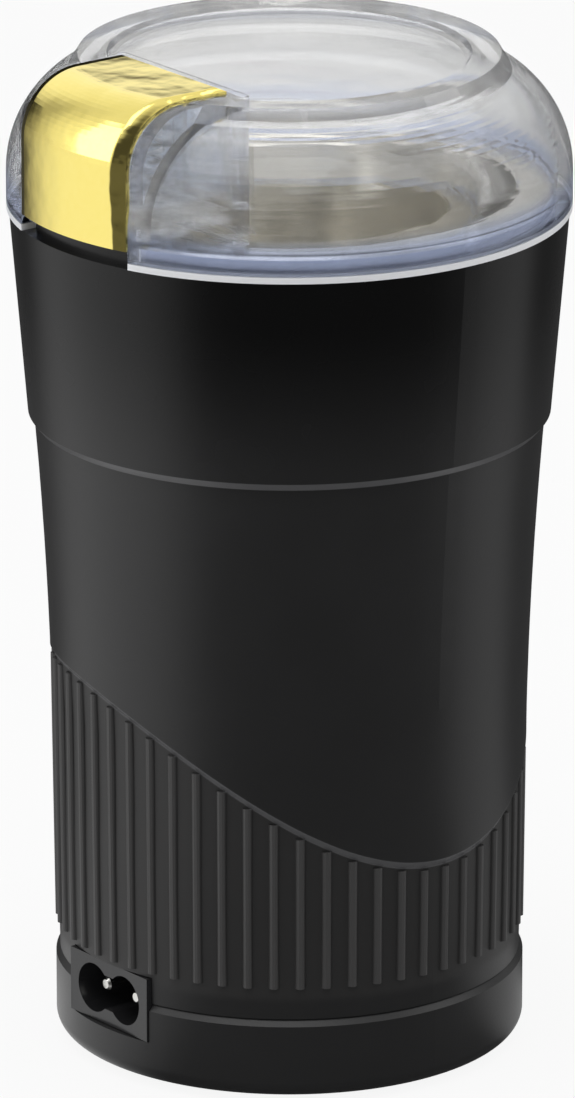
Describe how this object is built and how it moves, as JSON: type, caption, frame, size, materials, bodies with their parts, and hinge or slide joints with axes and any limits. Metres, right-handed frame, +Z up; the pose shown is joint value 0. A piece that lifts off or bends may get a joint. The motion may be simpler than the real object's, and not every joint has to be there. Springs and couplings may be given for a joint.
{
  "type": "electric spice grinder",
  "caption": "Round electric spice grinder with ribbed grip, steel bowl and blade under a clear domed lid, gold press button that runs the motor, and a figure-of-eight mains inlet.",
  "frame": {"origin": "middle of the base on the table, under the motor shaft", "axes": "+Z up along the motor shaft; the press button and the mains inlet face -Y"},
  "size_m": [0.0976, 0.0976, 0.178],
  "materials": {
    "clear_plastic": "clear moulded plastic, polished",
    "gold_plating": "mirror gold plating",
    "black_plastic": "satin black moulded plastic",
    "inlet_plastic": "glossy black plastic",
    "stainless": "drawn stainless steel",
    "plated_steel": "bright zinc plate",
    "pin_metal": "bright nickel plate",
    "black_rubber": "matte rubber",
    "red_rubber": "matte silicone rubber",
    "lamination": "varnished laminated steel",
    "copper_wire": "enamelled copper",
    "commutator_copper": "turned copper",
    "fan_nylon": "natural nylon",
    "bracket_alloy": "die-cast aluminium",
    "bearing_bronze": "sintered bronze",
    "brown_phenolic": "moulded phenolic",
    "carbon": "pressed carbon",
    "rod_plastic": "white nylon",
    "switch_plastic": "black switch moulding",
    "plunger_plastic": "red moulded plastic",
    "yellow_plastic": "yellow film capacitor case",
    "fuse_ceramic": "white ceramic",
    "wire_insulation": "red PVC insulation"
  },
  "bodies": {
    "root": {"upper_housing": "black_plastic", "lower_housing": "black_plastic", "base_cover": "black_plastic", "rubber_feet": "black_rubber", "base_screws": "plated_steel", "housing_screws": "plated_steel", "inlet_socket": "inlet_plastic", "inlet_pins": "pin_metal", "grinding_bowl": "stainless", "bowl_gasket": "black_rubber", "shaft_seal": "red_rubber", "stator_core": "lamination", "field_coils": "copper_wire", "upper_motor_bracket": "bracket_alloy", "lower_motor_bracket": "bracket_alloy", "upper_bearing": "bearing_bronze", "lower_bearing": "bearing_bronze", "tie_screws": "plated_steel", "motor_mounts": "black_rubber", "mount_screws": "plated_steel", "brush_holders": "brown_phenolic", "carbon_brushes": "carbon", "brush_springs": "plated_steel", "switch_bracket": "bracket_alloy", "micro_switch": "switch_plastic", "filter_capacitor": "yellow_plastic", "thermal_fuse": "fuse_ceramic", "internal_wires": "wire_insulation"},
    "lid": {"lid_shell": "clear_plastic", "button_spring": "plated_steel"},
    "button": {"press_button": "gold_plating"},
    "actuator": {"actuator_rod": "rod_plastic"},
    "plunger": {"switch_plunger": "plunger_plastic"},
    "rotor": {"motor_shaft": "plated_steel", "rotor_core": "lamination", "rotor_windings": "copper_wire", "commutator": "commutator_copper", "cooling_fan": "fan_nylon", "blade": "stainless", "blade_hub": "plated_steel", "blade_nut": "plated_steel"}
  },
  "joints": [
    {"name": "lid_lift", "type": "slide", "parent": "root", "child": "lid", "axis": [0, 0, 1], "range_m": [0, 0.12]},
    {"name": "button_press", "type": "slide", "parent": "lid", "child": "button", "axis": [0, 0, -1], "range_m": [0, 0.0026], "stiffness_N_per_m": 400, "springref_m": -0.0005, "deforming": ["button_spring"]},
    {"name": "rod_slide", "type": "slide", "parent": "root", "child": "actuator", "axis": [0, 0, -1], "range_m": [0, 0.0026]},
    {"name": "plunger_slide", "type": "slide", "parent": "root", "child": "plunger", "axis": [0, 0, -1], "range_m": [0, 0.0026]},
    {"name": "motor_spin", "type": "hinge", "parent": "root", "child": "rotor", "pos_m": [0, 0, 0.07], "axis": [0, 0, 1], "continuous": true}
  ],
  "couplings": [
    {"joint": "rod_slide", "follows": "button_press", "ratio": 1},
    {"joint": "plunger_slide", "follows": "button_press", "ratio": 1}
  ]
}
